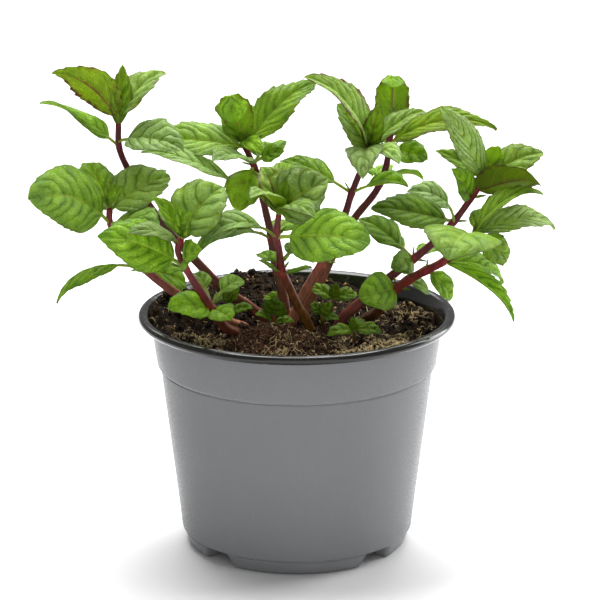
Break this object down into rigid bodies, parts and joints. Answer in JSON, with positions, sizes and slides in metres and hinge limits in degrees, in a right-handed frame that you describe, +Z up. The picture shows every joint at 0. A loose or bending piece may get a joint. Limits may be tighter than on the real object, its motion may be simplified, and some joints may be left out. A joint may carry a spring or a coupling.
{
  "type": "potted mint plant",
  "caption": "Young mint plant with square stems and toothed, veined leaves in opposite pairs, growing in a tapered plastic nursery pot filled with potting soil.",
  "frame": {"origin": "middle of the pot at the height of the surface that its feet stand on, which is the middle of the underside of the whole object's box", "axes": "+Z up along the pot's axis, +X to the right and +Y away from someone who looks at the plant from the front"},
  "size_m": [0.2109, 0.13, 0.1995],
  "materials": {
    "pot_grey": "satin grey polypropylene with a fine moulded grain",
    "pot_black": "glossy black lining and rolled rim",
    "potting_soil": "crumbly dark peat with tan and orange fibres, fully rough",
    "mint_leaf": "soft green leaf with a pale sheen, sunken veins and toothed edges",
    "mint_stem": "square young stem, reddish brown at the foot and dark purple above"
  },
  "bodies": {
    "root": {"pot": "pot_grey", "potting_soil": "potting_soil", "stem_far_left": "mint_leaf", "stem_left": "mint_leaf", "stem_front_left": "mint_leaf", "stem_centre": "mint_leaf", "stem_tall_left": "mint_leaf", "stem_tall_right": "mint_leaf", "stem_back_right": "mint_leaf", "stem_right_low": "mint_leaf", "stem_right_high": "mint_leaf", "shoot_front": "mint_leaf", "shoot_middle": "mint_leaf", "shoot_right": "mint_leaf", "shoot_front_right": "mint_leaf", "shoot_left": "mint_leaf"}
  },
  "joints": []
}
